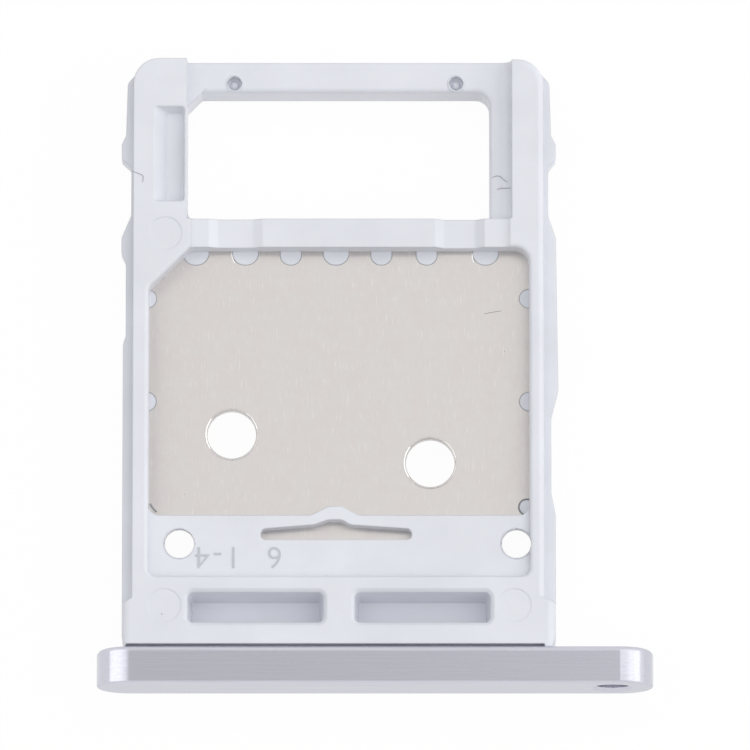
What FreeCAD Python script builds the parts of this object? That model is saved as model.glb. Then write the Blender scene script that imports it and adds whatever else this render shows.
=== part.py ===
import FreeCAD, Part
import math
import os
import re
import Sketcher

# Memory and nano card tray: a moulded frame round a steel plate, behind a metal face cap.
# Lengths are in millimetres. X runs along the cap, +Y towards the end that enters the phone
# first, +Z out of the side that takes the nano card. A piece is drawn with X at 0 in the
# middle of the nano card's pocket, Y at 0 on the cap's inner face and Z at 0 under the cap.
# Across the tray the sizes add up from the pocket outwards, and along it from the cap.

dimensions = {
    # Nano card pocket, for a card of 12.3 x 8.8 x 0.67
    "pocket_width": 12.48,
    "pocket_length": 8.94,
    "pocket_depth": 0.8,
    "pocket_corner": 0.5,
    "pocket_foot": 0.36,
    "key_cut": 1.36,
    "key_round": 0.3,
    "rim_round": 0.14,
    # Rails beside the pocket and the body of the frame
    "rail_left": 0.53,
    "rail_right": 0.48,
    "rail_round": 0.2,
    "frame_height": 1.8,
    "nose_radius": 0.85,
    "shoulder_length": 1.45,
    "shoulder_slope": 0.17,
    "shoulder_round": 0.3,
    "end_bevel": 0.14,
    "end_bevel_length": 0.4,
    "joint_gap": 0.1,
    "joint_gap_depth": 0.4,
    # Runners, with each reach counted outwards from the rail's side
    "runner_height": 0.8,
    "runner_left": 0.33,
    "runner_right": 0.38,
    "runner_root": 0.2,
    "entry_left": 0.25,
    "entry_right": 0.26,
    "entry_taper": 0.05,
    "entry_setback": 0.45,
    "detent_left": 0.39,
    "detent_right": 0.41,
    "detent_half": 0.24,
    "detent_ramp": 0.3,
    "front_detent": 2.34,
    "rear_detent": 0.15,
    "notch_left": 0.07,
    "notch_right": 0.16,
    "relief_left": 0.24,
    "relief_length": 3.2,
    "waist_right": 0.24,
    "waist_start": 0.64,
    "waist_length": 2.7,
    "bulge_right": 0.48,
    # Face cap, longer than the frame on both sides
    "cap_height": 2.2,
    "cap_depth": 1.22,
    "overhang_left": 0.82,
    "overhang_right": 3.18,
    "cap_round": 0.08,
    "cap_back_round": 0.2,
    "eject_radius": 0.56,
    "eject_inset": 1.33,
    "eject_bevel": 0.1,
    # Tongue on the cap, which the frame is moulded round
    "tongue_length": 10.6,
    "tongue_depth": 0.6,
    "tongue_height": 0.7,
    # Two coring recesses beside the cap
    "core_south": 0.8,
    "core_span": 1.03,
    "core_wall": 0.53,
    "core_inset": 1.28,
    "core_width": 4.47,
    "core_web": 0.99,
    "core_depth": 1.3,
    "core_corner": 0.2,
    "core_taper": 6.0,
    "core_bevel": 0.1,
    # Shelf behind the pocket, with a springy lip that holds the card
    "shelf_width": 2.05,
    "shelf_drop": 0.28,
    "shelf_corner": 0.26,
    "lip_shift": 0.12,
    "lip_rise": 0.3,
    "lip_top_half": 0.22,
    "lip_foot_left": 0.8,
    "lip_foot_right": 0.75,
    "lip_round": 0.4,
    "beam_width": 0.31,
    "slot_width": 0.5,
    "slot_left": 2.49,
    "slot_right": 2.55,
    "slot_rise": 0.17,
    "slot_foot_left": 0.7,
    "slot_foot_right": 0.48,
    "slot_end_round": 0.17,
    "slot_end_slope": 0.08,
    "slot_end_step": 0.14,
    "shelf_hole_radius": 0.48,
    "shelf_hole_land": 0.2,
    "shelf_hole_relief": 0.72,
    "shelf_hole_shift": 0.1,
    "shelf_hole_rise": 1.11,
    "shelf_hole_left": 1.02,
    "shelf_hole_right": 0.43,
    # Bar between the pocket and the window, with a low step near each end
    "bar_width": 0.96,
    "bar_inset": 0.53,
    "bar_drop": 0.12,
    "bar_cove": 0.35,
    "bar_ramp": 0.3,
    "left_notch_depth": 0.14,
    "left_notch_inset": 0.71,
    "left_notch_width": 1.76,
    "right_notch_depth": 0.22,
    "right_notch_inset": 0.93,
    "right_notch_width": 1.62,
    # Window through the frame
    "window_length": 4.34,
    "window_inset_left": 1.25,
    "window_inset_right": 1.29,
    "window_corner": 0.45,
    "window_cut": 0.47,
    "window_foot": 0.3,
    "window_cut_round": 0.15,
    # Nose bar and the ledge beside the window, one level down
    "nose_width": 1.05,
    "nose_drop": 0.5,
    "nose_setback": 0.06,
    "nose_edge_round": 0.18,
    "nose_wall_draft": 0.08,
    "ledge_width": 0.33,
    "cove_radius": 0.4,
    "pin_hole_radius": 0.24,
    "pin_hole_depth": 0.3,
    "pin_hole_rise": 0.3,
    "pin_hole_left": 1.54,
    "pin_hole_right": 1.1,
    # Dished recess in the left rail
    "dish_inset": 0.68,
    "dish_wall": 0.1,
    "dish_gap": 0.57,
    "dish_depth": 0.4,
    "dish_slope": 0.42,
    "dish_end_slope": 0.16,
    "dish_draft": 0.03,
    "dish_corner": 0.12,
    # Ejector pin marks
    "mark_radius": 0.55,
    "mark_depth": 0.012,
    "mark_left": 0.53,
    "mark_right": 0.5,
    "mark_rise": 0.57,
    "mark_north": 0.45,
    # Steel plate, with notches that the frame's plastic fills
    "plate_thickness": 0.28,
    "plate_lap": 0.26,
    "plate_front_lap": 0.35,
    "plate_tail": 0.19,
    "plate_corner": 0.3,
    "plate_cut": 1.0,
    "plate_hole_radius": 0.8,
    "plate_hole_bevel": 0.04,
    "left_hole_inset": 2.72,
    "left_hole_rise": 2.8,
    "right_hole_inset": 3.25,
    "right_hole_rise": 1.85,
    "nub_width": 0.86,
    "nub_reach": 0.46,
    "nub_round": 0.4,
    "slim_nub_width": 0.7,
    "slim_nub_round": 0.33,
    "nub_tail": 0.1,
    "nub_pitch": 1.49,
    "nub_shift": 0.1,
    "nub_first": 1.53,
    "nub_last": 1.42,
    "side_nub_radius": 0.32,
    "side_nub_inset": 0.08,
    "side_nub_rise": 0.45,
    "side_nub_pitch": 3.45,
    "corner_nub_radius": 0.25,
    "corner_nub_inset": 0.08,
    "corner_nub_rise": 0.37,
    "pilot_radius": 0.6,
    # Walls of the memory card's pocket on the back, which leave 11.07 x 15.15 for its card
    "card_wall_left": 0.65,
    "card_wall_end": 1.14,
    "card_corner": 0.3,
    "card_step": 5.0,
    "card_step_rise": 1.1,
}

doc = FreeCAD.newDocument("card_tray")
sizes = doc.addObject("Spreadsheet::Sheet", "Sizes")
for row, (alias, length) in enumerate(dimensions.items(), start=1):
    sizes.set(f"A{row}", alias)
    sizes.set(f"B{row}", str(length))
    sizes.setAlias(f"B{row}", alias)
doc.recompute()


def bound(text):
    """The same expression, with each size's name pointing at its cell."""
    def cell(word):
        return "Sizes." + word.group() if word.group() in dimensions else word.group()
    return re.sub(r"[a-z_]+", cell, text)


def number(text):
    """An expression's value in millimetres."""
    return float(sizes.evalExpression(text))


# Levels, lowest first
frame_bottom = "(cap_height - frame_height) / 2"
middle = "cap_height / 2"
frame_top = "(cap_height + frame_height) / 2"
plate_top = f"({frame_top} - pocket_depth)"
plate_bottom = f"({plate_top} - plate_thickness)"
shelf_top = f"({frame_top} - shelf_drop)"
nose_top = f"({frame_top} - nose_drop)"
bar_top = f"({frame_top} - bar_drop)"
clear = 0.5
above = f"({frame_top} + {clear})"

# Lines across the tray, from the pocket outwards
pocket_west = "(-pocket_width / 2)"
pocket_east = "(pocket_width / 2)"
rail_west = f"({pocket_west} - rail_left)"
rail_east = f"({pocket_east} + rail_right)"
outer_west = f"({rail_west} - runner_left)"
outer_east = f"({rail_east} + runner_right)"
cap_west = f"({outer_west} - overhang_left)"
cap_east = f"({outer_east} + overhang_right)"
cap_middle = f"(({cap_west} + {cap_east}) / 2)"
frame_middle = f"(({rail_west} + {rail_east}) / 2)"
window_west = f"({pocket_west} + window_inset_left)"
window_east = f"({pocket_east} - window_inset_right)"
bar_east = f"({pocket_east} - bar_inset)"

# Lines along the tray, from the cap outwards
core_north = "(core_south + core_span)"
shelf_south = f"({core_north} + core_wall)"
pocket_south = f"({shelf_south} + shelf_width)"
pocket_north = f"({pocket_south} + pocket_length)"
window_south = f"({pocket_north} + bar_width)"
window_north = f"({window_south} + window_length)"
frame_north = f"({window_north} + nose_width)"
plate_north = f"({pocket_north} + plate_front_lap)"


def new_body(name):
    """An empty piece, placed so that the whole tray is centred on the origin."""
    body = doc.addObject("PartDesign::Body", name)
    body.Label = name
    body.setExpression("Placement.Base.x", bound(f"-{cap_middle}"))
    body.setExpression("Placement.Base.y", bound(f"-({frame_north} - cap_depth) / 2"))
    return body


def new_sketch(body, name, plane, level="0"):
    """A sketch on one of the piece's own planes, moved along the plane's normal."""
    sketch = body.newObject("Sketcher::SketchObject", name)
    support = next(part for part in body.Origin.OriginFeatures if part.Role == plane)
    sketch.AttachmentSupport = [(support, "")]
    sketch.MapMode = "FlatFace"
    sketch.setExpression("AttachmentOffset.Base.z", bound(level))
    return sketch


def fix_point(sketch, shape, position, x, y):
    """Ties a point of the sketch to two expressions."""
    for kind, text in (("DistanceX", x), ("DistanceY", y)):
        index = sketch.addConstraint(Sketcher.Constraint(kind, shape, position, number(text)))
        sketch.setExpression(f"Constraints[{index}]", bound(text))


def fix_radius(sketch, shape, text):
    """Ties a circle's or an arc's radius to an expression."""
    index = sketch.addConstraint(Sketcher.Constraint("Radius", shape, number(text)))
    sketch.setExpression(f"Constraints[{index}]", bound(text))


def outline(sketch, corners):
    """A closed outline of straight runs. Each corner is (x, y) or, if rounded, (x, y, radius)."""
    count = len(corners)
    points = [FreeCAD.Vector(number(corner[0]), number(corner[1]), 0) for corner in corners]
    starts = list(points)
    ends = list(points)
    arcs = {}
    for index, corner in enumerate(corners):
        if len(corner) == 2:
            continue
        point = points[index]
        back = (points[index - 1] - point).normalize()
        ahead = (points[(index + 1) % count] - point).normalize()
        radius = number(corner[2])
        half = back.getAngle(ahead) / 2
        inward = (back + ahead).normalize()
        centre = point + inward * (radius / math.sin(half))
        ends[index] = point + back * (radius / math.tan(half))
        starts[index] = point + ahead * (radius / math.tan(half))
        left_turn = back.cross(ahead).z < 0
        first, last = (ends[index], starts[index]) if left_turn else (starts[index], ends[index])
        from_angle = math.atan2(first.y - centre.y, first.x - centre.x)
        to_angle = math.atan2(last.y - centre.y, last.x - centre.x)
        if to_angle < from_angle:
            to_angle += 2 * math.pi
        circle = Part.Circle(centre, FreeCAD.Vector(0, 0, 1), radius)
        arcs[index] = (Part.ArcOfCircle(circle, from_angle, to_angle), left_turn)
    lines = []
    for index in range(count):
        following = (index + 1) % count
        lines.append(sketch.addGeometry(Part.LineSegment(starts[index], ends[following]), False))
    for index, corner in enumerate(corners):
        before = lines[index - 1]
        after = lines[index]
        if index not in arcs:
            sketch.addConstraint(Sketcher.Constraint("Coincident", before, 2, after, 1))
            fix_point(sketch, after, 1, corner[0], corner[1])
            continue
        arc_shape, left_turn = arcs[index]
        arc = sketch.addGeometry(arc_shape, False)
        apex = sketch.addGeometry(Part.Point(points[index]), True)
        near, far = (1, 2) if left_turn else (2, 1)
        sketch.addConstraint(Sketcher.Constraint("Tangent", before, 2, arc, near))
        sketch.addConstraint(Sketcher.Constraint("Tangent", after, 1, arc, far))
        sketch.addConstraint(Sketcher.Constraint("PointOnObject", apex, 1, before))
        sketch.addConstraint(Sketcher.Constraint("PointOnObject", apex, 1, after))
        fix_point(sketch, apex, 1, corner[0], corner[1])
        fix_radius(sketch, arc, corner[2])


def box_corners(left, right, south, north, radius=None):
    """The four corners of a rectangle, anticlockwise, all rounded alike if a radius is given."""
    corners = [(left, south), (right, south), (right, north), (left, north)]
    if radius is None:
        return corners
    return [corner + (radius,) for corner in corners]


def circles(sketch, places, radius):
    """Equal circles, one at each (x, y)."""
    for x, y in places:
        centre = FreeCAD.Vector(number(x), number(y), 0)
        shape = sketch.addGeometry(Part.Circle(centre, FreeCAD.Vector(0, 0, 1), number(radius)), False)
        fix_point(sketch, shape, 3, x, y)
        fix_radius(sketch, shape, radius)


def add_feature(body, kind, name, sketch, length, grows, **settings):
    """A pad or a pocket of a sketch, whose volume has to change the way it should."""
    before = body.Shape.Volume if body.Tip else 0.0
    feature = body.newObject("PartDesign::" + kind, name)
    feature.Profile = sketch
    feature.setExpression("Length", bound(length))
    for key, setting in settings.items():
        if isinstance(setting, str):
            feature.setExpression(key, bound(setting))
        else:
            setattr(feature, key, setting)
    sketch.Visibility = False
    check_growth(body, feature, before, grows)


def check_growth(body, feature, before, grows):
    """Stops the build if a feature failed, or changed the volume the wrong way."""
    doc.recompute()
    if "Invalid" in feature.State or "Error" in feature.State:
        raise ValueError(f"{feature.Name} failed: {feature.getStatusString()}")
    change = body.Shape.Volume - before
    if abs(change) < 1e-6 or (change > 0) != grows:
        raise ValueError(f"{feature.Name} changes the volume by {change:.4f} mm3")


def pad(body, name, sketch, length, **settings):
    add_feature(body, "Pad", name, sketch, length, True, **settings)


def pocket(body, name, sketch, length, **settings):
    add_feature(body, "Pocket", name, sketch, length, False, **settings)


def dress(body, kind, name, amount, test):
    """A fillet or chamfer along every edge of the piece that passes a test."""
    base = body.Tip
    names = []
    for index, edge in enumerate(base.Shape.Edges, start=1):
        if test(edge):
            names.append(f"Edge{index}")
    if not names:
        raise ValueError(f"{name} found no edge")
    before = base.Shape.Volume
    feature = body.newObject("PartDesign::" + kind, name)
    feature.Base = (base, names)
    feature.setExpression("Radius" if kind == "Fillet" else "Size", bound(amount))
    check_growth(body, feature, before, False)


def flat_at(edge, level):
    """Whether a whole edge lies at one height."""
    return abs(edge.BoundBox.ZMin - level) < 1e-4 and abs(edge.BoundBox.ZMax - level) < 1e-4


def inside(edge, left, right, south, north, slack=0.02):
    """Whether an edge stays within a rectangle of the plan."""
    box = edge.BoundBox
    return (box.XMin > left - slack and box.XMax < right + slack
            and box.YMin > south - slack and box.YMax < north + slack)


def plate_outline(sketch):
    """The steel plate's outer edge, cut away behind the nano card's keyed corner."""
    west = f"{pocket_west} - plate_lap"
    east = f"{pocket_east} + plate_lap"
    south = f"{shelf_south} + plate_tail"
    outline(sketch, [
        (west, south, "plate_corner"),
        (east, south, "plate_corner"),
        (east, plate_north, "plate_corner"),
        (f"{west} + plate_cut", plate_north, "plate_corner"),
        (west, f"{plate_north} - plate_cut", "plate_corner"),
    ])


def front_nubs(sketch):
    """Round-ended tabs of plastic that reach into the plate from the bar, three of them slimmer."""
    wide = ("nub_width", "nub_round")
    slim = ("slim_nub_width", "slim_nub_round")
    tip = f"{pocket_north} - nub_reach"
    root = f"{plate_north} + nub_tail"
    for middle_x, (width, end_round) in (
            (f"{pocket_west} + nub_first", wide),
            ("-2 * nub_pitch - nub_shift", wide),
            ("-nub_pitch - nub_shift", slim),
            ("-nub_shift", wide),
            ("nub_pitch - nub_shift", slim),
            ("2 * nub_pitch - nub_shift", slim),
            (f"{pocket_east} - nub_last", wide)):
        west = f"{middle_x} - {width} / 2"
        east = f"{middle_x} + {width} / 2"
        outline(sketch, [
            (west, tip, end_round),
            (east, tip, end_round),
            (east, root),
            (west, root),
        ])


def side_nubs(sketch):
    """Round spots of plastic that reach into the plate from both rails, and one near a corner."""
    places = []
    for side_x in (f"{pocket_west} - side_nub_inset", pocket_east):
        for step in (1, 2):
            places.append((side_x, f"{pocket_south} + side_nub_rise + {step} * side_nub_pitch"))
    circles(sketch, places, "side_nub_radius")
    corner = (f"{pocket_east} - corner_nub_inset", f"{pocket_south} + corner_nub_rise")
    circles(sketch, [corner], "corner_nub_radius")


shelf_hole_places = [
    (f"{pocket_west} + shelf_hole_left", f"{shelf_south} + shelf_hole_rise"),
    (f"{pocket_east} - shelf_hole_right", f"{shelf_south} + shelf_hole_rise"),
]
relief_places = [(place_x, f"{place_y} + shelf_hole_shift") for place_x, place_y in shelf_hole_places]


def build_cap():
    """The metal face: a bar with full round ends, an eject hole and a tongue for the frame."""
    body = new_body("face_cap")
    radius = number("cap_height / 2")
    west_end = number(cap_west) + radius
    east_end = number(cap_east) - radius
    sketch = new_sketch(body, "CapEnd", "XZ_Plane")
    loop = []
    lower_run = (west_end, east_end, 0, -math.pi / 2)
    upper_run = (east_end, west_end, 2 * radius, math.pi / 2)
    for near, far, level, start in (lower_run, upper_run):
        line = Part.LineSegment(FreeCAD.Vector(near, level, 0), FreeCAD.Vector(far, level, 0))
        loop.append(sketch.addGeometry(line, False))
        circle = Part.Circle(FreeCAD.Vector(far, radius, 0), FreeCAD.Vector(0, 0, 1), radius)
        loop.append(sketch.addGeometry(Part.ArcOfCircle(circle, start, start + math.pi), False))
    for index, shape in enumerate(loop):
        sketch.addConstraint(Sketcher.Constraint("Tangent", loop[index - 1], 2, shape, 1))
    fix_point(sketch, loop[1], 3, f"{cap_east} - cap_height / 2", "cap_height / 2")
    fix_point(sketch, loop[3], 3, f"{cap_west} + cap_height / 2", "cap_height / 2")
    fix_radius(sketch, loop[1], "cap_height / 2")
    pad(body, "CapBar", sketch, "cap_depth")

    sketch = new_sketch(body, "EjectCircle", "XZ_Plane", "cap_depth")
    circles(sketch, [(f"{cap_east} - eject_inset", "cap_height / 2")], "eject_radius")
    pocket(body, "EjectHole", sketch, "cap_depth")

    front = number("-cap_depth") + 1e-4
    dress(body, "Fillet", "FrontRound", "cap_round",
          lambda edge: edge.BoundBox.YMax < front and not is_hole(edge))
    dress(body, "Fillet", "BackRound", "cap_back_round",
          lambda edge: edge.BoundBox.YMin > -1e-4 and not is_hole(edge))
    dress(body, "Chamfer", "EjectBevel", "eject_bevel",
          lambda edge: edge.BoundBox.YMax < front and is_hole(edge))

    sketch = new_sketch(body, "TongueEnd", "XZ_Plane")
    outline(sketch, tongue_corners())
    pad(body, "Tongue", sketch, "tongue_depth", Reversed=True)
    return body


def is_hole(edge):
    """Whether an edge is the whole circle of the eject hole's mouth."""
    return len(edge.Vertexes) == 1


def tongue_corners():
    return box_corners(
        f"{frame_middle} - tongue_length / 2", f"{frame_middle} + tongue_length / 2",
        "(cap_height - tongue_height) / 2", "(cap_height + tongue_height) / 2")


def build_plate():
    """The stamped steel floor between the two cards."""
    body = new_body("card_plate")
    sketch = new_sketch(body, "PlateOutline", "XY_Plane", plate_bottom)
    plate_outline(sketch)
    pad(body, "PlateSheet", sketch, "plate_thickness")

    sketch = new_sketch(body, "FrontNotchOutlines", "XY_Plane", plate_top)
    front_nubs(sketch)
    pocket(body, "FrontNotches", sketch, "plate_thickness")
    sketch = new_sketch(body, "SideNotchOutlines", "XY_Plane", plate_top)
    side_nubs(sketch)
    pocket(body, "SideNotches", sketch, "plate_thickness")

    sketch = new_sketch(body, "HoleCircles", "XY_Plane", plate_top)
    circles(sketch, [
        (f"{pocket_west} + left_hole_inset", f"{pocket_south} + left_hole_rise"),
        (f"{pocket_east} - right_hole_inset", f"{pocket_south} + right_hole_rise"),
    ], "plate_hole_radius")
    pocket(body, "Holes", sketch, "plate_thickness")
    sketch = new_sketch(body, "PilotCircles", "XY_Plane", plate_top)
    circles(sketch, relief_places, "pilot_radius")
    pocket(body, "PilotHoles", sketch, "plate_thickness")

    # Stamping breaks the upper edge of the round holes
    level = number(plate_top)
    reach = number(pocket_south)
    dress(body, "Chamfer", "HoleBevel", "plate_hole_bevel",
          lambda edge: flat_at(edge, level) and len(edge.Vertexes) == 1 and edge.BoundBox.YMin > reach)
    return body


def build_frame():
    """The moulded frame, from its outer form inwards."""
    body = new_body("tray_frame")
    add_outer_form(body)
    cut_cap_seat(body)
    cut_upper_side(body)
    cut_nose(body)
    cut_recesses(body)
    seat_plate(body)
    cut_back(body)
    return body


def add_outer_form(body):
    # The right half comes first, so that its rail's rounded edge ends in the nose
    sketch = new_sketch(body, "RightOutline", "XY_Plane", frame_bottom)
    outline(sketch, [
        ("0", "0"),
        (f"{outer_east} - end_bevel", "0"),
        (outer_east, "end_bevel_length"),
        (outer_east, "shoulder_length"),
        (rail_east, "shoulder_length + shoulder_slope"),
        (rail_east, frame_north, "nose_radius"),
        ("0", frame_north),
    ])
    pad(body, "RightBlock", sketch, "frame_height")
    level = number(frame_top)
    side = number(rail_east) - 1e-3
    half_way = number(pocket_south)
    dress(body, "Fillet", "RailRound", "rail_round",
          lambda edge: flat_at(edge, level) and edge.BoundBox.XMin > side and edge.BoundBox.YMax > half_way)

    sketch = new_sketch(body, "LeftOutline", "XY_Plane", frame_bottom)
    outline(sketch, [
        ("0", "0"),
        ("0", frame_north),
        (rail_west, frame_north, "nose_radius"),
        (rail_west, "shoulder_length + shoulder_slope"),
        (outer_west, "shoulder_length"),
        (outer_west, "end_bevel_length"),
        (f"{outer_west} + end_bevel", "0"),
    ])
    pad(body, "LeftBlock", sketch, "frame_height")
    west = number(outer_west)
    east = number(outer_east)
    start = number("end_bevel_length")
    shoulder = number("shoulder_length")
    dress(body, "Fillet", "ShoulderRound", "shoulder_round",
          lambda edge: flat_at(edge, level) and inside(edge, west, east, start, shoulder))

    sketch = new_sketch(body, "RunnerOutline", "XY_Plane", f"{middle} - runner_height / 2")
    outline(sketch, runner_corners())
    pad(body, "Runners", sketch, "runner_height")


def runner_corners():
    """Both runners in one outline: up the right side, across the nose, down the left side."""
    entry_end = f"{frame_north} - entry_setback"
    front_low = f"{window_south} + front_detent - detent_half"
    front_high = f"{window_south} + front_detent + detent_half"
    rear_low = f"{pocket_north} + rear_detent - detent_half"
    rear_high = f"{pocket_north} + rear_detent + detent_half"
    waist_low = f"{pocket_south} + waist_start"
    waist_high = f"{waist_low} + waist_length"
    relief_end = f"{pocket_north} - relief_length"
    right_side = [
        (outer_east, "end_bevel_length"),
        (outer_east, f"{waist_low} - 2 * detent_ramp", "detent_ramp"),
        (f"{rail_east} + waist_right", f"{waist_low} + detent_ramp / 2", "detent_ramp"),
        (f"{rail_east} + waist_right", waist_high, "detent_ramp"),
        (f"{rail_east} + bulge_right", f"{waist_high} + 3 * detent_ramp", "detent_ramp"),
        (f"{rail_east} + detent_right", rear_high, "detent_ramp"),
        (f"{rail_east} + notch_right", f"{rear_high} + 2.5 * detent_ramp", "detent_ramp"),
        (f"{rail_east} + notch_right", f"{front_low} - detent_ramp", "detent_ramp / 4"),
        (f"{rail_east} + detent_right", front_low, "detent_ramp / 4"),
        (f"{rail_east} + detent_right", front_high, "detent_ramp / 4"),
        (f"{rail_east} + entry_right", f"{front_high} + detent_ramp", "detent_ramp / 2"),
        (f"{rail_east} + entry_right - entry_taper", f"{entry_end} - detent_ramp", "detent_ramp"),
        (f"{rail_east} - runner_root", f"{entry_end} + detent_ramp / 2"),
    ]
    left_side = [
        (f"{rail_west} + runner_root", f"{entry_end} + detent_ramp / 2"),
        (f"{rail_west} - entry_left + entry_taper", f"{entry_end} - detent_ramp", "detent_ramp"),
        (f"{rail_west} - entry_left", f"{front_high} + detent_ramp", "detent_ramp / 2"),
        (f"{rail_west} - detent_left", front_high, "detent_ramp / 4"),
        (f"{rail_west} - detent_left", front_low, "detent_ramp / 4"),
        (f"{rail_west} - notch_left", f"{front_low} - detent_ramp", "detent_ramp / 4"),
        (f"{rail_west} - notch_left", f"{rear_high} + 2.5 * detent_ramp", "detent_ramp"),
        (f"{rail_west} - detent_left", rear_high, "detent_ramp"),
        (f"{rail_west} - detent_left", rear_low, "detent_ramp / 2"),
        (f"{rail_west} - relief_left", f"{rear_low} - detent_ramp", "detent_ramp / 2"),
        (f"{rail_west} - relief_left", f"{relief_end} + detent_ramp", "detent_ramp / 4"),
        (outer_west, relief_end, "detent_ramp / 4"),
        (outer_west, "end_bevel_length"),
    ]
    return right_side + left_side


def cut_cap_seat(body):
    # Narrow gap along the upper edge, where the frame meets the cap
    sketch = new_sketch(body, "JointGapOutline", "XY_Plane", frame_top)
    outline(sketch, box_corners(f"{outer_west} + end_bevel", rail_east, f"-{clear}", "joint_gap"))
    pocket(body, "JointGap", sketch, "joint_gap_depth")

    sketch = new_sketch(body, "TongueSeatOutline", "XZ_Plane")
    outline(sketch, tongue_corners())
    pocket(body, "TongueSeat", sketch, "tongue_depth")


def cut_upper_side(body):
    sketch = new_sketch(body, "WindowOutline", "XY_Plane", above)
    outline(sketch, [
        (window_west, window_south, "window_foot"),
        (window_east, window_south),
        (window_east, window_north, "window_corner"),
        (f"{window_west} + window_cut", window_north),
        (window_west, f"{window_north} - window_cut", "window_cut_round"),
    ])
    pocket(body, "Window", sketch, f"frame_height + 2 * {clear}")

    # Along the pocket's near edge, the lip swells out to press on the card
    sketch = new_sketch(body, "PocketOutline", "XY_Plane", above)
    outline(sketch, [
        (pocket_west, pocket_south, "pocket_foot"),
        ("-lip_shift - lip_foot_left", pocket_south, "lip_round"),
        ("-lip_shift - lip_top_half", f"{pocket_south} + lip_rise", "lip_round"),
        ("lip_top_half - lip_shift", f"{pocket_south} + lip_rise", "lip_round"),
        ("lip_foot_right - lip_shift", pocket_south, "lip_round"),
        (pocket_east, pocket_south, "pocket_foot"),
        (pocket_east, pocket_north, "pocket_corner"),
        (f"{pocket_west} + key_cut", pocket_north, "key_round"),
        (pocket_west, f"{pocket_north} - key_cut", "key_round"),
    ])
    pocket(body, "NanoPocket", sketch, f"pocket_depth + {clear}")

    sketch = new_sketch(body, "ShelfOutline", "XY_Plane", above)
    outline(sketch, [
        (pocket_west, shelf_south, "shelf_corner"),
        (pocket_east, shelf_south, "shelf_corner"),
        (pocket_east, f"{pocket_south} + 2 * pocket_foot"),
        (pocket_west, f"{pocket_south} + 2 * pocket_foot"),
    ])
    pocket(body, "Shelf", sketch, f"shelf_drop + {clear}")

    level = number(frame_top)
    west = number(pocket_west)
    east = number(pocket_east)
    south = number(shelf_south)
    north = number(pocket_north)
    dress(body, "Fillet", "RimRound", "rim_round",
          lambda edge: flat_at(edge, level) and inside(edge, west, east, south, north))


def cut_nose(body):
    # Steps along the bar between the window and the pocket
    sketch = new_sketch(body, "BarSteps", "XZ_Plane", f"-{window_south} - rim_round")
    left_low = f"{bar_top} - left_notch_depth"
    right_low = f"{bar_top} - right_notch_depth"
    left_notch = f"{window_west} + left_notch_inset"
    right_notch = f"{bar_east} - right_notch_inset"
    outline(sketch, [
        (window_west, above),
        (f"{window_west} + rim_round", bar_top),
        (left_notch, bar_top),
        (f"{left_notch} + bar_ramp", left_low),
        (f"{left_notch} + left_notch_width - bar_ramp", left_low),
        (f"{left_notch} + left_notch_width", bar_top),
        (f"{right_notch} - right_notch_width", bar_top),
        (f"{right_notch} - right_notch_width + bar_ramp", right_low),
        (f"{right_notch} - bar_ramp", right_low),
        (right_notch, bar_top),
        (bar_east, bar_top, "bar_cove"),
        (bar_east, above),
    ])
    pocket(body, "BarTop", sketch, "bar_width + 3 * rim_round", Reversed=True)

    # Nose bar and the ledge beside the window, with a cove up to the right rail
    sketch = new_sketch(body, "NoseSteps", "XZ_Plane", f"-{frame_north} - {clear}")
    cove_start = f"{window_east} + ledge_width"
    outline(sketch, [
        (f"{window_west} - nose_wall_draft", above),
        (window_west, nose_top),
        (f"{cove_start} + cove_radius", nose_top, "cove_radius"),
        (f"{cove_start} + cove_radius", above),
    ])
    pocket(body, "NoseTop", sketch, f"window_length + nose_width + {clear}", Reversed=True)

    sketch = new_sketch(body, "SetbackOutline", "XY_Plane", above)
    outline(sketch, box_corners(
        window_west, f"{cove_start} + cove_radius",
        f"{frame_north} - nose_setback", f"{frame_north} + {clear}"))
    pocket(body, "NoseSetback", sketch, f"frame_height + 2 * {clear}")

    level = number(nose_top)
    north = number(window_north)
    west = number(f"{window_west} + window_cut")
    east = number(window_east)
    dress(body, "Fillet", "NoseEdgeRound", "nose_edge_round",
          lambda edge: flat_at(edge, level) and inside(edge, west, east, north, north) and edge.Length > 1)

    sketch = new_sketch(body, "PinHoleCircles", "XY_Plane", nose_top)
    circles(sketch, [
        (f"{window_west} + pin_hole_left", f"{window_north} + pin_hole_rise"),
        (f"{window_east} - pin_hole_right", f"{window_north} + pin_hole_rise"),
    ], "pin_hole_radius")
    pocket(body, "PinHoles", sketch, "pin_hole_depth")


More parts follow.
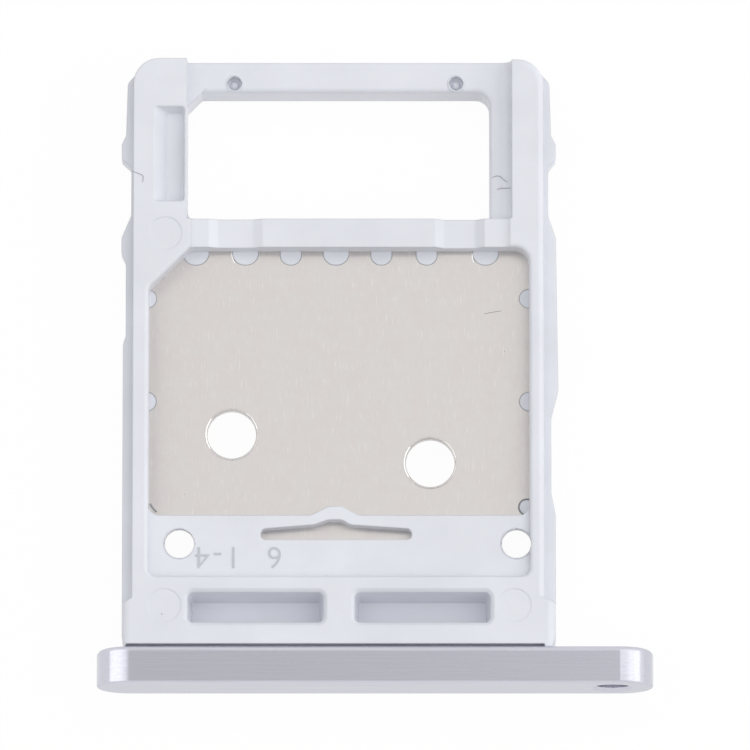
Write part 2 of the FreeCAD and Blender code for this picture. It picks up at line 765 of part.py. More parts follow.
def cut_recesses(body):
    # Dish in the left rail: sloped on its left and far sides, steep on the others
    west = f"{rail_west} + dish_inset"
    east = f"{window_west} - dish_wall"
    south = f"{window_south} + dish_gap"
    north = f"{window_north} - dish_gap"
    upper = new_sketch(body, "DishRim", "XY_Plane", frame_top)
    outline(upper, box_corners(west, east, south, north, "dish_corner"))
    floor = new_sketch(body, "DishFloor", "XY_Plane", f"{frame_top} - dish_depth")
    outline(floor, box_corners(
        f"{west} + dish_slope", f"{east} - dish_draft",
        f"{south} + dish_draft", f"{north} - dish_end_slope", "dish_corner"))
    before = body.Shape.Volume
    dish = body.newObject("PartDesign::SubtractiveLoft", "Dish")
    dish.Profile = upper
    dish.Sections = [floor]
    dish.Ruled = True
    check_growth(body, dish, before, False)

    sketch = new_sketch(body, "CoreOutlines", "XY_Plane", frame_top)
    first = f"{pocket_west} + core_inset"
    second = f"{first} + core_width + core_web"
    for west in (first, second):
        outline(sketch, box_corners(west, f"{west} + core_width", "core_south", core_north, "core_corner"))
    pocket(body, "Cores", sketch, "core_depth", TaperAngle="-core_taper")
    level = number(frame_top)
    box = [number(line) for line in (first, f"{second} + core_width", "core_south", core_north)]
    dress(body, "Chamfer", "CoreBevel", "core_bevel",
          lambda edge: flat_at(edge, level) and inside(edge, *box))

    sketch = new_sketch(body, "MarkCircles", "XY_Plane", frame_top)
    circles(sketch, [
        (f"{pocket_west} + mark_left", f"{pocket_north} + mark_north"),
        (f"{pocket_west} + mark_left", "core_south + mark_rise"),
        (f"{pocket_east} - mark_right", "core_south + mark_rise"),
    ], "mark_radius")
    pocket(body, "EjectorMarks", sketch, "mark_depth")

    # Slot behind the lip, which frees a thin beam of plastic to flex
    slot_north = f"{pocket_south} - beam_width"
    slot_south = f"{slot_north} - slot_width"
    slot_west = "-lip_shift - slot_left"
    slot_east = "slot_right - lip_shift"
    sketch = new_sketch(body, "SlotOutline", "XY_Plane", shelf_top)
    outline(sketch, [
        (slot_west, slot_south, "slot_end_round"),
        (slot_east, slot_south, "slot_end_round"),
        (f"{slot_east} - slot_end_slope", f"{slot_north} - slot_end_step", "slot_end_round"),
        ("slot_foot_right - lip_shift", slot_north, "lip_round"),
        ("lip_top_half - lip_shift", f"{slot_north} + slot_rise", "lip_round"),
        ("-lip_shift - lip_top_half", f"{slot_north} + slot_rise", "lip_round"),
        ("-lip_shift - slot_foot_left", slot_north, "lip_round"),
        (f"{slot_west} + slot_end_slope", f"{slot_north} - slot_end_step", "slot_end_round"),
    ])
    pocket(body, "LipSlot", sketch, f"{shelf_top} - {plate_top}")


def seat_plate(body):
    """Room for the plate's edges, with plastic left in its notches."""
    sketch = new_sketch(body, "PlateSeatOutline", "XY_Plane", plate_top)
    plate_outline(sketch)
    pocket(body, "PlateSeat", sketch, "plate_thickness")
    sketch = new_sketch(body, "FrontNubOutlines", "XY_Plane", plate_bottom)
    front_nubs(sketch)
    pad(body, "FrontNubs", sketch, "plate_thickness")
    sketch = new_sketch(body, "SideNubCircles", "XY_Plane", plate_bottom)
    side_nubs(sketch)
    pad(body, "SideNubs", sketch, "plate_thickness")


def cut_back(body):
    # Memory card pocket, stepped like the card's own edge
    card_west = f"{rail_west} + card_wall_left"
    card_south = f"{shelf_south} + card_wall_end"
    step_north = f"{window_north} - card_step"
    sketch = new_sketch(body, "MemoryOutline", "XY_Plane", frame_bottom)
    outline(sketch, [
        (card_west, card_south, "card_corner"),
        (window_east, card_south, "card_corner"),
        (window_east, f"{window_south} + window_foot"),
        (window_west, f"{window_south} + window_foot"),
        (window_west, step_north, "card_corner"),
        (card_west, f"{step_north} - card_step_rise", "card_corner"),
    ])
    pocket(body, "MemoryPocket", sketch, f"{plate_bottom} - {frame_bottom}", Reversed=True)

    # Holes through the shelf, wider below it and shifted there towards the pocket
    sketch = new_sketch(body, "ShelfHoleCircles", "XY_Plane", above)
    circles(sketch, shelf_hole_places, "shelf_hole_radius")
    pocket(body, "ShelfHoles", sketch, f"frame_height + {clear}")
    sketch = new_sketch(body, "ShelfHoleReliefs", "XY_Plane", frame_bottom)
    circles(sketch, relief_places, "shelf_hole_relief")
    pocket(body, "ShelfReliefs", sketch, f"{shelf_top} - shelf_hole_land - {frame_bottom}", Reversed=True)


parts = [build_cap(), build_plate(), build_frame()]
doc.recompute()

for thing in doc.Objects:
    if "Invalid" in thing.State or "Error" in thing.State:
        raise ValueError(f"{thing.Name} failed: {thing.State}")
for piece in parts:
    if piece.Shape.isNull() or not piece.Shape.isValid() or len(piece.Shape.Solids) != 1:
        raise ValueError(f"{piece.Label} is not one valid solid")

os.makedirs("parts", exist_ok=True)
for piece in parts:
    piece.Shape.exportStep(f"parts/{piece.Label}.step")
    box = piece.Shape.BoundBox
    print(f"{piece.Label}: {piece.Shape.Volume:.2f} mm3, X {box.XMin:.2f}..{box.XMax:.2f},"
          f" Y {box.YMin:.2f}..{box.YMax:.2f}, Z {box.ZMin:.2f}..{box.ZMax:.2f}")
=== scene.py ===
# Sim card tray seen from above: moulded frame, brushed steel plate and metal face cap.
# Lengths in the dictionaries are millimetres, and mm turns them to metres.
import math

import bpy
from mathutils import Matrix, Vector


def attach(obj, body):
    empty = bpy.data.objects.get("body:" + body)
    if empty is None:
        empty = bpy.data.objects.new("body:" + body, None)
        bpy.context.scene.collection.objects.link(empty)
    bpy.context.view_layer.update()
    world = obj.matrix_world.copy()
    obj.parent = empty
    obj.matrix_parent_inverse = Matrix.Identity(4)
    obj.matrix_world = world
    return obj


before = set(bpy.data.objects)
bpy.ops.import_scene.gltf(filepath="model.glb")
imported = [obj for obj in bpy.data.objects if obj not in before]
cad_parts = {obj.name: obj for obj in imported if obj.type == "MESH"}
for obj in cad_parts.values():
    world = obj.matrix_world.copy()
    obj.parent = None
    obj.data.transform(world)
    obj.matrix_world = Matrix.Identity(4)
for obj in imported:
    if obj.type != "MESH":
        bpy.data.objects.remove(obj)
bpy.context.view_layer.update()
scene = bpy.context.scene
mm = 0.001


# sRGB hex to the linear numbers that shaders work with
def hexColour(text):
    channels = [int(text[i:i + 2], 16) / 255 for i in (0, 2, 4)]
    linear = [c / 12.92 if c <= 0.04045 else ((c + 0.055) / 1.055) ** 2.4 for c in channels]
    return (*linear, 1)


# Adds one node: settings are its options or unlinked inputs, links its linked inputs
def addNode(tree, kind, settings=None, links=None):
    node = tree.nodes.new(kind)
    for key, value in (settings or {}).items():
        if isinstance(key, str) and hasattr(node, key):
            setattr(node, key, value)
        else:
            node.inputs[key].default_value = value
    for key, socket in (links or {}).items():
        tree.links.new(socket, node.inputs[key])
    return node


def newMaterial(name):
    material = bpy.data.materials.new(name)
    material.use_nodes = True
    material.node_tree.nodes.clear()
    return material, material.node_tree


# Blend of two hex colours, by a share between 0 and 1
def blendColours(tree, first, second, share):
    blend = addNode(tree, "ShaderNodeMix",
                    {"data_type": "RGBA", 6: hexColour(first), 7: hexColour(second)}, {"Factor": share})
    return blend.outputs[2]


# Direction the brush ran in, wandering a little with a noise, for the stretched highlights
def brushDirection(tree, along, wander, noise):
    wandering = addNode(tree, "ShaderNodeVectorMath",
                        {"operation": "MULTIPLY_ADD", 1: (wander, wander, wander), 2: along},
                        {0: noise.outputs["Color"]})
    turned = addNode(tree, "ShaderNodeVectorTransform",
                     {"vector_type": "VECTOR", "convert_from": "OBJECT", "convert_to": "WORLD"},
                     {"Vector": wandering.outputs["Vector"]})
    return turned.outputs["Vector"]


# Polycarbonate blend from a spark-eroded mould: pale cool grey, satin, with a fine even
# grain, faint cloudy flow marks and edges that are never quite sharp
plasticLook = {
    "colour": "E3E5EC",
    "flowColour": "DDDFE6",
    "flowSize": 2.6,
    "flowFrom": 0.35,         # where on the noise the marks begin
    "flowTo": 0.7,
    "grainSize": 0.075,       # real grain is near 0.02, too fine to show
    "grainHeight": 0.0022,
    "grainStrength": 0.35,
    "roughness": 0.36,
    "smoother": 0.05,         # how far the grain takes the roughness down
    "rougher": 0.07,
    "refraction": 1.57,
    "edgeRadius": 0.08,
    "edgeSamples": 6,
}


def mouldedPolycarbonate(look):
    material, tree = newMaterial("mouldedPolycarbonate")
    place = addNode(tree, "ShaderNodeTexCoord")
    flow = addNode(tree, "ShaderNodeTexNoise",
                   {"Scale": 1 / (look["flowSize"] * mm), "Detail": 3, "Roughness": 0.55, "Distortion": 0.6},
                   {"Vector": place.outputs["Object"]})
    flowShare = addNode(tree, "ShaderNodeMapRange",
                        {"From Min": look["flowFrom"], "From Max": look["flowTo"]},
                        {"Value": flow.outputs["Fac"]})
    tint = blendColours(tree, look["colour"], look["flowColour"], flowShare.outputs["Result"])
    grain = addNode(tree, "ShaderNodeTexNoise", {"Scale": 1 / (look["grainSize"] * mm), "Detail": 2},
                    {"Vector": place.outputs["Object"]})
    gloss = addNode(tree, "ShaderNodeMapRange",
                    {"To Min": look["roughness"] - look["smoother"],
                     "To Max": look["roughness"] + look["rougher"]},
                    {"Value": grain.outputs["Fac"]})
    edge = addNode(tree, "ShaderNodeBevel",
                   {"samples": look["edgeSamples"], "Radius": look["edgeRadius"] * mm})
    relief = addNode(tree, "ShaderNodeBump",
                     {"Strength": look["grainStrength"], "Distance": look["grainHeight"] * mm},
                     {"Height": grain.outputs["Fac"], "Normal": edge.outputs["Normal"]})
    surface = addNode(tree, "ShaderNodeBsdfPrincipled", {"IOR": look["refraction"]},
                      {"Base Color": tint, "Roughness": gloss.outputs["Result"],
                       "Normal": relief.outputs["Normal"]})
    addNode(tree, "ShaderNodeOutputMaterial", links={"Surface": surface.outputs["BSDF"]})
    return material


# Stainless sheet, finely brushed along the tray: warm pale grey, mirror-like along the brushing
# and blurred across it, with cloudy pinkish and yellowish patches and a few short bright lines
steelLook = {
    "colour": "D2CFCC",
    "cloudColour": "D0CAC9",
    "cloudSize": 0.8,
    "cloudFrom": 0.4,         # where on the noise the patches begin
    "cloudTo": 0.66,
    "lineColour": "E3E0DD",
    "lineWidth": 0.04,        # real lines are near 0.01, too fine to show
    "lineLength": 0.55,
    "lineFrom": 0.6,          # where on the noise the lines begin
    "lineTo": 0.76,
    "lineMost": 0.8,          # how far a line can hide the sheet's colour
    "roughness": 0.3,
    "roughnessSpread": 0.05,
    "brushing": 0.85,         # how far the highlights stretch
    "brushingTurn": 0.25,     # a quarter turn, so that they stretch across the brushing
    "wander": 0.06,
}


def brushedStainless(look):
    material, tree = newMaterial("brushedStainless")
    place = addNode(tree, "ShaderNodeTexCoord")
    across = 1 / (look["lineWidth"] * mm)
    along = 1 / (look["lineLength"] * mm)
    stretch = addNode(tree, "ShaderNodeMapping", {"Scale": (across, along, across)},
                      {"Vector": place.outputs["Object"]})
    lines = addNode(tree, "ShaderNodeTexNoise", {"Scale": 1, "Detail": 3, "Roughness": 0.5},
                    {"Vector": stretch.outputs["Vector"]})
    clouds = addNode(tree, "ShaderNodeTexNoise",
                     {"Scale": 1 / (look["cloudSize"] * mm), "Detail": 6, "Roughness": 0.65},
                     {"Vector": place.outputs["Object"]})
    cloudShare = addNode(tree, "ShaderNodeMapRange",
                         {"From Min": look["cloudFrom"], "From Max": look["cloudTo"]},
                         {"Value": clouds.outputs["Fac"]})
    tint = blendColours(tree, look["colour"], look["cloudColour"], cloudShare.outputs["Result"])
    lineShare = addNode(tree, "ShaderNodeMapRange",
                        {"From Min": look["lineFrom"], "From Max": look["lineTo"],
                         "To Max": look["lineMost"]},
                        {"Value": lines.outputs["Fac"]})
    lined = addNode(tree, "ShaderNodeMix", {"data_type": "RGBA", 7: hexColour(look["lineColour"])},
                    {"Factor": lineShare.outputs["Result"], 6: tint})
    gloss = addNode(tree, "ShaderNodeMapRange",
                    {"To Min": look["roughness"] - look["roughnessSpread"],
                     "To Max": look["roughness"] + look["roughnessSpread"]},
                    {"Value": clouds.outputs["Fac"]})
    surface = addNode(tree, "ShaderNodeBsdfPrincipled",
                      {"Metallic": 1, "Anisotropic": look["brushing"],
                       "Anisotropic Rotation": look["brushingTurn"]},
                      {"Base Color": lined.outputs[2], "Roughness": gloss.outputs["Result"],
                       "Tangent": brushDirection(tree, (0, 1, 0), look["wander"], clouds)})
    addNode(tree, "ShaderNodeOutputMaterial", links={"Surface": surface.outputs["BSDF"]})
    return material


# Aluminium bar, brushed along its length and then anodised clear: neutral grey with a soft
# sheen that pulls out into long streaks round the ends
aluminiumLook = {
    "colour": "D0D0DA",
    "streakColour": "C9C9D4",
    "streakWidth": 0.045,     # real lines are near 0.01, too fine to show
    "streakLength": 2.6,
    "streakFrom": 0.4,        # where on the noise the streaks begin
    "streakTo": 0.68,
    "streakHeight": 0.0008,
    "streakStrength": 0.4,
    "roughness": 0.24,
    "smoother": 0.06,         # how far the streaks take the roughness down
    "rougher": 0.08,
    "brushing": 0.85,         # as for the steel
    "brushingTurn": 0.25,
    "wander": 0.06,
    "edgeRadius": 0.03,
    "edgeSamples": 6,
}


def anodisedAluminium(look):
    material, tree = newMaterial("anodisedAluminium")
    place = addNode(tree, "ShaderNodeTexCoord")
    across = 1 / (look["streakWidth"] * mm)
    along = 1 / (look["streakLength"] * mm)
    stretch = addNode(tree, "ShaderNodeMapping", {"Scale": (along, across, across)},
                      {"Vector": place.outputs["Object"]})
    streaks = addNode(tree, "ShaderNodeTexNoise", {"Scale": 1, "Detail": 4, "Roughness": 0.55},
                      {"Vector": stretch.outputs["Vector"]})
    streakShare = addNode(tree, "ShaderNodeMapRange",
                          {"From Min": look["streakFrom"], "From Max": look["streakTo"]},
                          {"Value": streaks.outputs["Fac"]})
    tint = blendColours(tree, look["colour"], look["streakColour"], streakShare.outputs["Result"])
    gloss = addNode(tree, "ShaderNodeMapRange",
                    {"To Min": look["roughness"] - look["smoother"],
                     "To Max": look["roughness"] + look["rougher"]},
                    {"Value": streaks.outputs["Fac"]})
    edge = addNode(tree, "ShaderNodeBevel",
                   {"samples": look["edgeSamples"], "Radius": look["edgeRadius"] * mm})
    relief = addNode(tree, "ShaderNodeBump",
                     {"Strength": look["streakStrength"], "Distance": look["streakHeight"] * mm},
                     {"Height": streaks.outputs["Fac"], "Normal": edge.outputs["Normal"]})
    surface = addNode(tree, "ShaderNodeBsdfPrincipled",
                      {"Metallic": 1, "Anisotropic": look["brushing"],
                       "Anisotropic Rotation": look["brushingTurn"]},
                      {"Base Color": tint, "Roughness": gloss.outputs["Result"],
                       "Normal": relief.outputs["Normal"],
                       "Tangent": brushDirection(tree, (1, 0, 0), look["wander"], streaks)})
    addNode(tree, "ShaderNodeOutputMaterial", links={"Surface": surface.outputs["BSDF"]})
    return material


# Small things that lie on the tray or mark it, and thin marks of painted shade and painted highlight, with a
# little unevenness in tone
def fineTrace(name, colour, otherColour, cloudSize=0.12, roughness=0.7, metal=0):
    material, tree = newMaterial(name)
    place = addNode(tree, "ShaderNodeTexCoord")
    cloud = addNode(tree, "ShaderNodeTexNoise", {"Scale": 1 / (cloudSize * mm), "Detail": 3},
                    {"Vector": place.outputs["Object"]})
    tint = blendColours(tree, colour, otherColour, cloud.outputs["Fac"])
    surface = addNode(tree, "ShaderNodeBsdfPrincipled", {"Roughness": roughness, "Metallic": metal},
                      {"Base Color": tint})
    addNode(tree, "ShaderNodeOutputMaterial", links={"Surface": surface.outputs["BSDF"]})
    return material


plastic = mouldedPolycarbonate(plasticLook)
steel = brushedStainless(steelLook)
aluminium = anodisedAluminium(aluminiumLook)
seamShade = fineTrace("seamShade", "A9A9AD", "8F8F95")            # painted shade of the thin gap where plastic meets steel
dustFibre = fineTrace("dustFibre", "A3A1A5", "B4B2B7")            # stray fibres
gritAndShade = fineTrace("gritAndShade", "8A8887", "A3A19F", 0.05)      # grit, and painted shade along one side of the plate's scratch
markShade = fineTrace("markShade", "C6C9D1", "BCC0C8")            # raised number's strokes, darker than the plastic: painted shade of their edges
paleLint = fineTrace("paleLint", "F2F3F6", "E9EBF0", 0.2, 0.35)   # lint that catches the light
glintMetal = fineTrace("glintMetal", "FAF9F7", "F0EFEC", 0.1, 0.2, 1)   # painted highlight: metal paler than the steel, for glints on cut and rolled edges

for name, material in (("tray_frame", plastic), ("card_plate", steel), ("face_cap", aluminium)):
    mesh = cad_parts[name].data
    mesh.materials.clear()
    mesh.materials.append(material)
print("materials made")


# Geometry Nodes tree that takes points, and named inputs of the given kinds
def newTree(name, inputs):
    tree = bpy.data.node_groups.new(name, "GeometryNodeTree")
    tree.interface.new_socket("Geometry", in_out="INPUT", socket_type="NodeSocketGeometry")
    for label, kind in inputs.items():
        tree.interface.new_socket(label, in_out="INPUT", socket_type="NodeSocket" + kind)
    tree.interface.new_socket("Geometry", in_out="OUTPUT", socket_type="NodeSocketGeometry")
    return tree, addNode(tree, "NodeGroupInput")


# Ends such a tree: a copy of the shape on each point, made real and given its material
def plantCopies(tree, given, shape, links=None):
    copies = addNode(tree, "GeometryNodeInstanceOnPoints", links={
        "Points": given.outputs["Geometry"], "Instance": shape, **(links or {})})
    real = addNode(tree, "GeometryNodeRealizeInstances", links={"Geometry": copies.outputs["Instances"]})
    paint = addNode(tree, "GeometryNodeSetMaterial", links={
        "Geometry": real.outputs["Geometry"], "Material": given.outputs["Material"]})
    addNode(tree, "NodeGroupOutput", links={"Geometry": paint.outputs["Geometry"]})


# Tree that lays a rounded loop of bead on each point of a mesh
loopSteps = {"corner": 9, "bead": 8}
loopTree, loopGiven = newTree("beadLoops", {
    "Loop Width": "Float", "Loop Length": "Float", "Corner Radius": "Float", "Bead Radius": "Float",
    "Material": "Material"})
loopPath = addNode(loopTree, "GeometryNodeCurvePrimitiveQuadrilateral", links={
    "Width": loopGiven.outputs["Loop Width"], "Height": loopGiven.outputs["Loop Length"]})
loopCorners = addNode(loopTree, "GeometryNodeFilletCurve",
                      {"mode": "POLY", "Count": loopSteps["corner"], "Limit Radius": True},
                      {"Curve": loopPath.outputs["Curve"], "Radius": loopGiven.outputs["Corner Radius"]})
loopSection = addNode(loopTree, "GeometryNodeCurvePrimitiveCircle", {"Resolution": loopSteps["bead"]},
                      {"Radius": loopGiven.outputs["Bead Radius"]})
loopBead = addNode(loopTree, "GeometryNodeCurveToMesh", links={
    "Curve": loopCorners.outputs["Curve"], "Profile Curve": loopSection.outputs["Curve"]})
plantCopies(loopTree, loopGiven, loopBead.outputs["Mesh"])

# Tree that puts one small lump of random turn and size on each point of a mesh
lumpShape = {"subdivisions": 2, "mostTurn": 6.28}   # radians
lumpTree, lumpGiven = newTree("lumps", {
    "Lump Radius": "Float", "Size Spread": "Float", "Seed": "Int", "Material": "Material"})
lumpBall = addNode(lumpTree, "GeometryNodeMeshIcoSphere", {"Subdivisions": lumpShape["subdivisions"]},
                   {"Radius": lumpGiven.outputs["Lump Radius"]})
lumpTurn = addNode(lumpTree, "FunctionNodeRandomValue",
                   {"data_type": "FLOAT_VECTOR", 1: [lumpShape["mostTurn"]] * 3},
                   {"Seed": lumpGiven.outputs["Seed"]})
lumpLimits = {}
for socket, operation in ((0, "SUBTRACT"), (1, "ADD")):
    limit = addNode(lumpTree, "ShaderNodeMath", {"operation": operation, 0: 1.0},
                    {1: lumpGiven.outputs["Size Spread"]})
    limitVector = addNode(lumpTree, "ShaderNodeCombineXYZ", links={axis: limit.outputs[0] for axis in "XYZ"})
    lumpLimits[socket] = limitVector.outputs[0]
lumpScale = addNode(lumpTree, "FunctionNodeRandomValue", {"data_type": "FLOAT_VECTOR"},
                    {**lumpLimits, "Seed": lumpGiven.outputs["Seed"]})
plantCopies(lumpTree, lumpGiven, lumpBall.outputs["Mesh"], {
    "Rotation": lumpTurn.outputs[0], "Scale": lumpScale.outputs[0]})


# The mesh that an object's modifiers or curve settings make
def finalMesh(maker):
    return bpy.data.meshes.new_from_object(maker.evaluated_get(bpy.context.evaluated_depsgraph_get()))


# Grows a piece from points with a tree, and leaves it as a plain mesh
def growPiece(name, tree, places, values):
    mesh = bpy.data.meshes.new(name)
    mesh.from_pydata([Vector(place) * mm for place in places], [], [])
    piece = bpy.data.objects.new(name, mesh)
    scene.collection.objects.link(piece)
    grow = piece.modifiers.new("grow", "NODES")
    grow.node_group = tree
    for item in tree.interface.items_tree:
        if item.in_out == "INPUT" and item.name in values:
            grow[item.identifier] = values[item.name]
    grown = finalMesh(piece)
    piece.modifiers.remove(grow)
    piece.data = grown
    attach(piece, "root")


def layLoops(name, places, width, length, corner, bead, material):
    growPiece(name, loopTree, places, {
        "Loop Width": width * mm, "Loop Length": length * mm, "Corner Radius": corner * mm,
        "Bead Radius": bead * mm, "Material": material})


def layRings(name, places, radius, bead, material, slot):
    layLoops(name, places, 2 * radius, 2 * radius, radius, bead, material)


def putLumps(name, lumps, material):
    growPiece(name, lumpTree, lumps["places"], {
        "Lump Radius": lumps["radius"] * mm, "Size Spread": lumps["spread"], "Seed": lumps["seed"],
        "Material": material})


# Dark beads of painted shade in the seams between plastic and steel, round the plastic tabs in the plate's
# notches
nubs = {
    "wide": {"middles": (-5.89, -4.26, -1.28, 3.64), "width": 0.86, "corner": 0.4},
    "slim": {"middles": (-2.77, 0.21, 1.70), "width": 0.7, "corner": 0.33},
    "round": {"middles": ((-7.5, -0.93), (-7.5, 2.52), (5.06, -0.93), (5.06, 2.52)), "radius": 0.32},
    "corner": {"middles": ((4.98, -4.46),), "radius": 0.25},
    "tip": 3.65,
    "root": 4.56,
    "seamRadius": 0.011,
    "level": 1.2,
}
for name in ("wide", "slim"):
    group = nubs[name]
    places = [(x, (nubs["tip"] + nubs["root"]) / 2, nubs["level"]) for x in group["middles"]]
    layLoops(name + "NubSeamShade", places, group["width"], nubs["root"] - nubs["tip"], group["corner"],
             nubs["seamRadius"], seamShade)
for name in ("round", "corner"):
    group = nubs[name]
    places = [(x, y, nubs["level"]) for x, y in group["middles"]]
    layRings(name + "NubSeamShade", places, group["radius"], nubs["seamRadius"], seamShade, "plastic")

# Raised rims round the blind holes, the shelf's holes and the plate's holes
pinRims = {"places": ((-4.63, 9.71, 1.492), (2.67, 9.71, 1.492)), "radius": 0.265, "bead": 0.032}
shelfRims = {"places": ((-6.40, -5.77, 1.72), (4.63, -5.77, 1.72)), "radius": 0.505, "bead": 0.025}
plateRims = {"places": ((-4.70, -2.03, 1.2), (1.81, -2.98, 1.2)), "radius": 0.85, "bead": 0.022}
layRings("pinHoleRims", **pinRims, material=plastic, slot="plastic")
layRings("shelfHoleRims", **shelfRims, material=plastic, slot="plastic")
layRings("plateHoleRims", **plateRims, material=steel, slot="steel")

# Low round spot in each blind hole, left by the end of the mould's pin
pinSpots = {"places": ((-4.63, 9.71, 1.07), (2.67, 9.71, 1.07)), "radius": 0.22, "spread": 0.0, "seed": 1}
putLumps("pinSpots", pinSpots, plastic)
print("seams and rims laid")


# Gives a finished mesh its piece
def placeMesh(name, mesh, material):
    mesh.name = name
    mesh.materials.clear()
    mesh.materials.append(material)
    piece = bpy.data.objects.new(name, mesh)
    scene.collection.objects.link(piece)
    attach(piece, "root")


# Turns a curve or a text to a plain mesh
def meshOfCurve(curve):
    holder = bpy.data.objects.new(curve.name + "Curve", curve)
    scene.collection.objects.link(holder)
    mesh = finalMesh(holder)
    bpy.data.objects.remove(holder)
    return mesh


# Plain number on the shelf, raised a little, which reads from the nose end
cavityNumber = {
    "text": "6  1-4",
    "height": 0.78,
    "fontSize": 1.35,         # font size for a figure of height 1
    "spacing": 1.15,
    "thinner": 0.012,         # taken off the strokes on each side
    "curveSteps": 5,
    "middle": (-4.47, -6.2),
    "level": 1.72,
    "raised": 0.02,
}
numberCurve = bpy.data.curves.new("cavityNumber", "FONT")
numberCurve.body = cavityNumber["text"]
numberCurve.size = cavityNumber["height"] * cavityNumber["fontSize"] * mm
numberCurve.space_character = cavityNumber["spacing"]
numberCurve.align_x = "CENTER"
numberCurve.align_y = "CENTER"
numberCurve.extrude = cavityNumber["raised"] * mm
numberCurve.offset = -cavityNumber["thinner"] * mm
numberCurve.resolution_u = cavityNumber["curveSteps"]
numberMesh = meshOfCurve(numberCurve)
numberPlace = Vector((*cavityNumber["middle"], cavityNumber["level"])) * mm
numberMesh.transform(Matrix.Translation(numberPlace) @ Matrix.Rotation(math.pi, 4, "Z"))
# The number's darker tone is painted shade of its raised strokes' edges
placeMesh("cavityNumber", numberMesh, markShade)


# Thin threads and scratches: a smooth round line near the points
def drawThread(name, points, radius, material, slot):
    curve = bpy.data.curves.new(name, "CURVE")
    curve.dimensions = "3D"
    spline = curve.splines.new("NURBS")
    spline.points.add(len(points) - 1)
    for point, place in zip(spline.points, points):
        point.co = (*(Vector(place) * mm), 1)
    spline.order_u = 3
    spline.use_endpoint_u = True
    curve.bevel_depth = radius * mm
    curve.bevel_resolution = 1
    curve.use_fill_caps = True
    placeMesh(name, meshOfCurve(curve), material)


# Stray fibres
hairs = {
    "radius": 0.012,
    "paths": {
        "railHair": ((-7.97, 6.64, 2.0), (-7.80, 6.57, 2.008), (-7.63, 6.51, 2.008),
                     (-7.61, 6.41, 2.008), (-7.645, 6.27, 2.0)),
        "ledgeHair": ((3.86, 6.53, 1.50), (4.0, 6.61, 1.51), (4.15, 6.56, 1.52),
                      (4.24, 6.43, 1.54), (4.38, 6.35, 1.60)),
        "coveHair": ((4.02, 6.13, 1.50), (4.12, 6.18, 1.52), (4.30, 6.16, 1.57),
                     (4.42, 6.15, 1.66), (4.56, 6.12, 1.86)),
    },
}
for name, points in hairs["paths"].items():
    drawThread(name, points, hairs["radius"], dustFibre, "plastic")

# Painted highlights: bright metal threads where the steel glints beside two of the tabs
nubGlints = {
    "radius": 0.028,
    "paths": {
        "nubGlintLeft": ((-4.72, 4.08, 1.205), (-4.70, 3.84, 1.205), (-4.60, 3.72, 1.205)),
        "nubGlintRight": ((3.20, 4.04, 1.205), (3.20, 3.86, 1.205), (3.26, 3.74, 1.205)),
    },
}
for name, points in nubGlints["paths"].items():
    drawThread(name, points, nubGlints["radius"], glintMetal, "steel")

# Painted highlights on the rolled edges of the plate's holes, where they catch the lamps on two sides: arcs
# in degrees from +X
holeGlints = {
    "radius": 0.853,
    "above": 0.01,
    "arcs": {"Left": range(142, 226, 12), "Right": range(12, 64, 9)},
    "bead": {"Left": 0.027, "Right": 0.016},
}
for hole, middle in zip(("west", "east"), plateRims["places"]):
    for side, angles in holeGlints["arcs"].items():
        points = [(middle[0] + holeGlints["radius"] * math.cos(math.radians(angle)),
                   middle[1] + holeGlints["radius"] * math.sin(math.radians(angle)),
                   middle[2] + holeGlints["above"]) for angle in angles]
        drawThread(hole + "HoleGlint" + side, points, holeGlints["bead"][side], glintMetal, "steel")

# Painted shade of the gap at the plate's near left corner
cornerGapShade = {"points": ((-7.37, -4.34, 1.2), (-7.29, -4.50, 1.2), (-7.16, -4.62, 1.2)), "radius": 0.032}
drawThread("cornerGapShade", **cornerGapShade, material=seamShade, slot="plastic")

# Scratch in the plate: a painted highlight along the cut and painted shade along its other side
plateScratch = {"points": ((3.58, 2.04, 1.2), (3.85, 2.085, 1.2), (4.14, 2.14, 1.2)), "radius": 0.010}
plateScratchShade = {"points": ((3.585, 2.015, 1.2), (3.85, 2.06, 1.2), (4.14, 2.115, 1.2)), "radius": 0.009}
drawThread("plateScratch", **plateScratch, material=glintMetal, slot="steel")
drawThread("plateScratchShade", **plateScratchShade, material=gritAndShade, slot="steel")

# Grit and lint
grit = {"places": ((4.26, 0.75, 1.2), (-6.26, -4.03, 1.2), (-6.96, -8.17, 2.0), (4.56, 6.03, 1.84)),
        "radius": 0.02, "spread": 0.4, "seed": 5}
lint = {"places": ((-1.54, -6.82, 1.73), (-2.91, -9.2, 1.75)), "radius": 0.035, "spread": 0.3, "seed": 2}
putLumps("grit", grit, gritAndShade)
putLumps("lint", lint, paleLint)
print("wear added")


# Is the ray one that shows the background: seen directly, mirrored or through glass
def backdropRay(tree):
    ray = addNode(tree, "ShaderNodeLightPath")
    seen = addNode(tree, "ShaderNodeMath", {"operation": "MAXIMUM"},
                   {0: ray.outputs["Is Camera Ray"], 1: ray.outputs["Is Glossy Ray"]})
    return addNode(tree, "ShaderNodeMath", {"operation": "MAXIMUM"},
                   {0: seen.outputs[0], 1: ray.outputs["Is Transmission Ray"]})


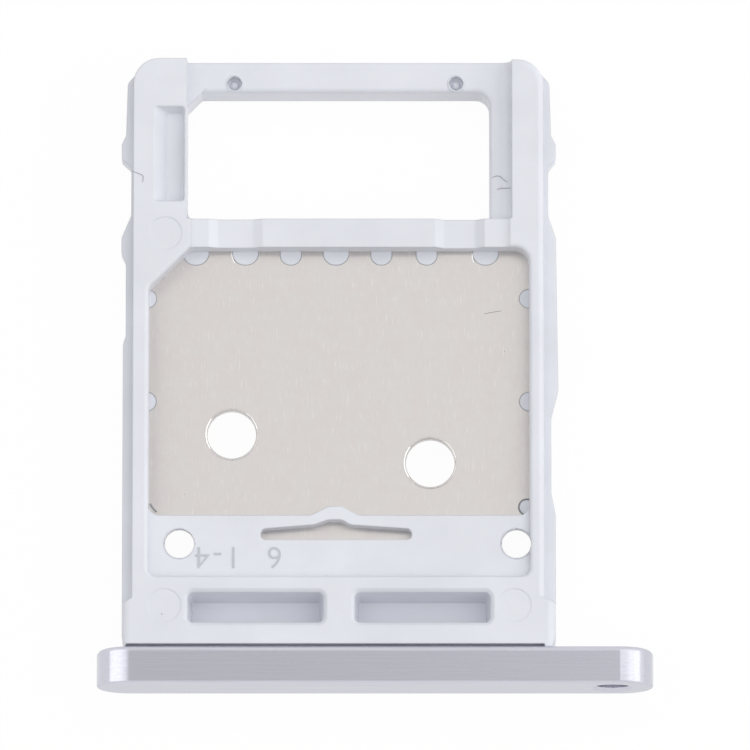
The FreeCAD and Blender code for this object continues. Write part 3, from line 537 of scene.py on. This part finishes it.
# Matt white paper, which takes the shadow. Its glow, for the same rays, keeps the rest white.
floor = {"half": 2000, "level": -0.01, "colour": "FAFAFA", "glow": 0.96}
floorMesh = bpy.data.meshes.new("floor")
floorMesh.from_pydata([Vector((x * floor["half"], y * floor["half"], floor["level"])) * mm
                       for x, y in ((-1, -1), (1, -1), (1, 1), (-1, 1))], [], [(0, 1, 2, 3)])
floorPiece = bpy.data.objects.new("floor", floorMesh)
scene.collection.objects.link(floorPiece)
paper, paperTree = newMaterial("mattPaper")
paperRay = backdropRay(paperTree)
paperShare = addNode(paperTree, "ShaderNodeMath", {"operation": "MULTIPLY", 1: floor["glow"]},
                     {0: paperRay.outputs[0]})
paperSheet = addNode(paperTree, "ShaderNodeBsdfDiffuse", {"Color": hexColour(floor["colour"])})
paperGlow = addNode(paperTree, "ShaderNodeEmission", {"Strength": 1})
paperMix = addNode(paperTree, "ShaderNodeMixShader", links={
    0: paperShare.outputs[0], 1: paperSheet.outputs[0], 2: paperGlow.outputs[0]})
addNode(paperTree, "ShaderNodeOutputMaterial", links={"Surface": paperMix.outputs[0]})
floorMesh.materials.append(paper)

# White room, a little darker straight above where only the camera is. Matt surfaces get
# gentle light from the ceiling and from the right side instead.
studio = {
    "background": 1.0,
    "overhead": 0.67,
    "overheadFrom": 0.76,     # height of the direction, 1 is straight up
    "overheadTo": 0.96,
    "wallLight": 0.04,
    "ceilingLight": 0.73,
    "sideLight": 0.86,
}
world = bpy.data.worlds.new("studio")
world.use_nodes = True
world.node_tree.nodes.clear()
worldRay = backdropRay(world.node_tree)
skyPlace = addNode(world.node_tree, "ShaderNodeTexCoord")
skyDirection = addNode(world.node_tree, "ShaderNodeSeparateXYZ", links={0: skyPlace.outputs["Generated"]})
skyGlow = addNode(world.node_tree, "ShaderNodeMapRange", {
    "interpolation_type": "SMOOTHSTEP", "From Min": studio["overheadFrom"], "From Max": studio["overheadTo"],
    "To Min": studio["background"], "To Max": studio["overhead"]}, {"Value": skyDirection.outputs["Z"]})
ceilingGlow = addNode(world.node_tree, "ShaderNodeMapRange", {
    "To Min": studio["wallLight"], "To Max": studio["ceilingLight"]}, {"Value": skyDirection.outputs["Z"]})
sideGlow = addNode(world.node_tree, "ShaderNodeMapRange", {"To Max": studio["sideLight"]},
                   {"Value": skyDirection.outputs["X"]})
roomGlow = addNode(world.node_tree, "ShaderNodeMath", {"operation": "ADD"},
                   {0: ceilingGlow.outputs["Result"], 1: sideGlow.outputs["Result"]})
roomLight = addNode(world.node_tree, "ShaderNodeBackground", {"Color": (1, 1, 1, 1)},
                    {"Strength": roomGlow.outputs[0]})
background = addNode(world.node_tree, "ShaderNodeBackground", {"Color": (1, 1, 1, 1)},
                     {"Strength": skyGlow.outputs["Result"]})
worldMix = addNode(world.node_tree, "ShaderNodeMixShader", links={
    0: worldRay.outputs[0], 1: roomLight.outputs[0], 2: background.outputs[0]})
addNode(world.node_tree, "ShaderNodeOutputWorld", links={"Surface": worldMix.outputs[0]})
scene.world = world

# Soft boxes: lean is the angle from straight up towards +X and ahead the one towards +Y, in
# degrees. Glow is how bright the box itself is.
lamps = {
    "stripRight": {"lean": 38, "ahead": 15, "away": 500, "wide": 680, "long": 600, "glow": 0.56},
    "stripLeft": {"lean": -44, "ahead": 8, "away": 500, "wide": 560, "long": 760, "glow": 0.62},
    "boxSide": {"lean": 74, "ahead": 18, "away": 500, "wide": 420, "long": 900, "glow": 0.15},
}
for name, box in lamps.items():
    light = bpy.data.lights.new(name, "AREA")
    light.shape = "RECTANGLE"
    light.size = box["wide"] * mm
    light.size_y = box["long"] * mm
    light.energy = box["glow"] * math.pi * light.size * light.size_y
    lamp = bpy.data.objects.new(name, light)
    scene.collection.objects.link(lamp)
    ahead = Matrix.Rotation(math.radians(-box["ahead"]), 4, "X")
    lean = Matrix.Rotation(math.radians(box["lean"]), 4, "Y")
    lamp.matrix_world = ahead @ lean @ Matrix.Translation((0, 0, box["away"] * mm))
    lamp.visible_camera = False

# Long lens from nearly straight above, tilted in degrees towards the cap's front
shot = {"tilt": 11.5, "away": 420, "aim": (0, -0.2, 2.0), "lens": 614.9, "sensor": 36, "nearest": 10}
camera = bpy.data.objects.new("camera", bpy.data.cameras.new("camera"))
camera.data.sensor_width = shot["sensor"]
camera.data.lens = shot["lens"]
camera.data.clip_start = shot["nearest"] * mm
tilt = math.radians(shot["tilt"])
camera.rotation_euler = (tilt, 0, 0)
camera.location = (Vector(shot["aim"]) + Vector((0, -math.sin(tilt), math.cos(tilt))) * shot["away"]) * mm
scene.collection.objects.link(camera)
scene.camera = camera
scene.view_settings.view_transform = "Standard"
print("studio set")
